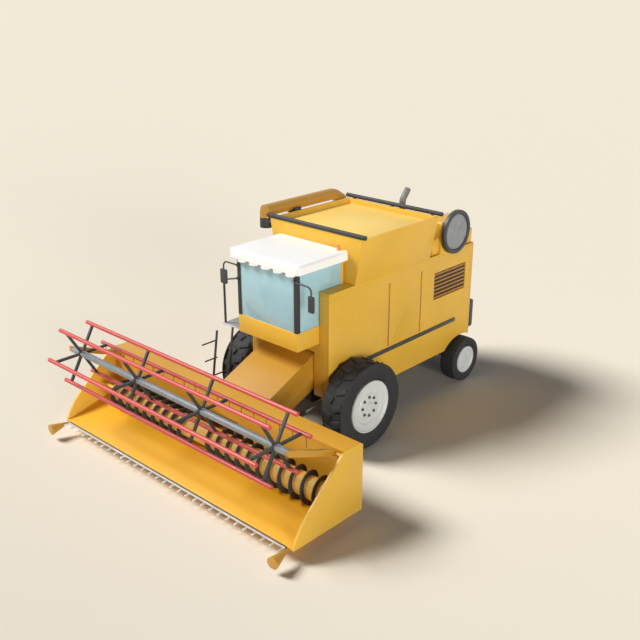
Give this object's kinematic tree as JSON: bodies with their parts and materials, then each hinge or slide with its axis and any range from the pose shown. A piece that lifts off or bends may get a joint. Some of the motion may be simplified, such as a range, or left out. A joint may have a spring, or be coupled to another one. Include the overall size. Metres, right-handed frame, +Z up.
{
  "type": "combine harvester",
  "caption": "Self-propelled grain combine with cab, grain tank, unloading tube, rear steering, and a wide header with raised reel, screw auger and cutter bar.",
  "frame": {"origin": "on the ground under the middle of the whole machine, header included", "axes": "X to the machine's left, Y to its rear, Z up; it faces -Y"},
  "size_m": [5.5888, 7.3049, 3.7814],
  "materials": {
    "yellow_paint": "satin yellow paint",
    "ochre_paint": "satin ochre-yellow paint",
    "cover_paint": "pale yellow sheet",
    "white_paint": "gloss white paint",
    "rim_paint": "light grey paint",
    "red_paint": "coral red paint",
    "tube_paint": "satin brown-ochre paint",
    "dark_paint": "dark grey paint",
    "dark_plastic": "dark grey plastic",
    "amber_plastic": "clear amber plastic",
    "bare_steel": "worn bright steel",
    "iron": "dull cast iron",
    "cab_glass": "clear glass",
    "rubber": "black tyre rubber",
    "seat_fabric": "dark grey seat cover"
  },
  "bodies": {
    "machine": {"chassis_frame": "dark_paint", "drive_axle": "dark_paint", "rear_axle": "dark_paint", "side_panel_left": "yellow_paint", "side_panel_right": "yellow_paint", "front_bulkhead": "yellow_paint", "rear_hood": "yellow_paint", "belly_pan": "dark_paint", "body_top": "yellow_paint", "side_mouldings": "dark_plastic", "grille_backings": "dark_plastic", "rear_lamp_boxes": "dark_plastic", "tow_hitch": "dark_paint", "grain_tank": "yellow_paint", "tank_cover": "cover_paint", "tank_bars": "dark_paint", "engine_cover": "yellow_paint", "engine_block": "iron", "screen_housing": "dark_plastic", "exhaust_pipe": "bare_steel", "cab_base": "yellow_paint", "cab_frame": "dark_paint", "cab_glazing": "cab_glass", "cab_roof": "white_paint", "beacon": "amber_plastic", "driver_seat": "seat_fabric", "steering_console": "dark_plastic", "mirrors": "dark_plastic", "platform": "bare_steel", "ladder": "dark_paint", "unload_elbow": "dark_paint"},
    "wheel_front_left": {"front_tyre_left": "rubber", "front_rim_left": "rim_paint"},
    "wheel_front_right": {"front_tyre_right": "rubber", "front_rim_right": "rim_paint"},
    "wheel_rear_left": {"rear_tyre_left": "rubber", "rear_rim_left": "rim_paint"},
    "wheel_rear_right": {"rear_tyre_right": "rubber", "rear_rim_right": "rim_paint"},
    "steer_left": {"knuckle_left": "dark_paint"},
    "steer_right": {"knuckle_right": "dark_paint"},
    "header": {"feeder_house": "ochre_paint", "header_trough": "ochre_paint", "header_ends": "ochre_paint", "knife_bar": "bare_steel", "divider_cones": "ochre_paint"},
    "auger": {"auger_tube": "ochre_paint", "auger_flights": "dark_paint"},
    "reel_frame": {"reel_arms": "ochre_paint"},
    "reel": {"reel_shaft": "bare_steel", "reel_spiders": "dark_paint", "reel_bats": "red_paint"},
    "rods": {"lift_rods": "bare_steel"},
    "barrels": {"lift_barrels": "dark_paint"},
    "screen": {"rotary_screen": "bare_steel"},
    "unloader": {"unload_tube": "tube_paint"},
    "door": {"cab_door": "dark_paint", "door_glass": "cab_glass"}
  },
  "joints": [
    {"name": "steer_left", "type": "hinge", "parent": "machine", "child": "steer_left", "pos_m": [0.69, 3.2155, 0.4345], "axis": [0, 0, 1], "range_deg": [-25, 25]},
    {"name": "steer_right", "type": "hinge", "parent": "machine", "child": "steer_right", "pos_m": [-0.69, 3.2155, 0.4345], "axis": [0, 0, 1], "range_deg": [-25, 25]},
    {"name": "front_wheel_left_spin", "type": "hinge", "parent": "machine", "child": "wheel_front_left", "pos_m": [1.1935, -0.0975, 0.754], "axis": [1, 0, 0], "continuous": true},
    {"name": "front_wheel_right_spin", "type": "hinge", "parent": "machine", "child": "wheel_front_right", "pos_m": [-1.1935, -0.0975, 0.754], "axis": [1, 0, 0], "continuous": true},
    {"name": "rear_wheel_left_spin", "type": "hinge", "parent": "steer_left", "child": "wheel_rear_left", "pos_m": [0.935, 3.2155, 0.4345], "axis": [1, 0, 0], "continuous": true},
    {"name": "rear_wheel_right_spin", "type": "hinge", "parent": "steer_right", "child": "wheel_rear_right", "pos_m": [-0.935, 3.2155, 0.4345], "axis": [1, 0, 0], "continuous": true},
    {"name": "header_lift", "type": "hinge", "parent": "machine", "child": "header", "pos_m": [0, -0.3975, 1.26], "axis": [-1, 0, 0], "range_deg": [-1.5, 20]},
    {"name": "lift_rod_tilt", "type": "hinge", "parent": "machine", "child": "rods", "pos_m": [0, -0.2975, 0.748], "axis": [-1, 0, 0], "range_deg": [-1.9, 19.1]},
    {"name": "lift_barrel_slide", "type": "slide", "parent": "rods", "child": "barrels", "axis": [0, -0.9889, -0.1487], "range_m": [-0.0175, 0.1841]},
    {"name": "reel_lift", "type": "hinge", "parent": "header", "child": "reel_frame", "pos_m": [0, -2.2625, 1.245], "axis": [-1, 0, 0], "range_deg": [-8, 20]},
    {"name": "reel_spin", "type": "hinge", "parent": "reel_frame", "child": "reel", "pos_m": [0, -3.1105, 1.579], "axis": [1, 0, 0], "continuous": true},
    {"name": "auger_spin", "type": "hinge", "parent": "header", "child": "auger", "pos_m": [0, -2.4975, 0.7], "axis": [1, 0, 0], "continuous": true},
    {"name": "screen_spin", "type": "hinge", "parent": "machine", "child": "screen", "pos_m": [0.995, 2.7555, 3.08], "axis": [1, 0, 0], "continuous": true},
    {"name": "unload_swing", "type": "hinge", "parent": "machine", "child": "unloader", "pos_m": [-1.222, 0.1425, 3.576], "axis": [0, 0, 1], "range_deg": [0, 95]},
    {"name": "door_swing", "type": "hinge", "parent": "machine", "child": "door", "pos_m": [-0.705, -0.5735, 2.6], "axis": [0, 0, -1], "range_deg": [0, 80]}
  ],
  "couplings": [
    {"joint": "steer_right", "follows": "steer_left", "ratio": 1},
    {"joint": "lift_rod_tilt", "follows": "header_lift", "ratio": 0.93},
    {"joint": "lift_barrel_slide", "follows": "header_lift", "m_per_rad": 0.516}
  ]
}
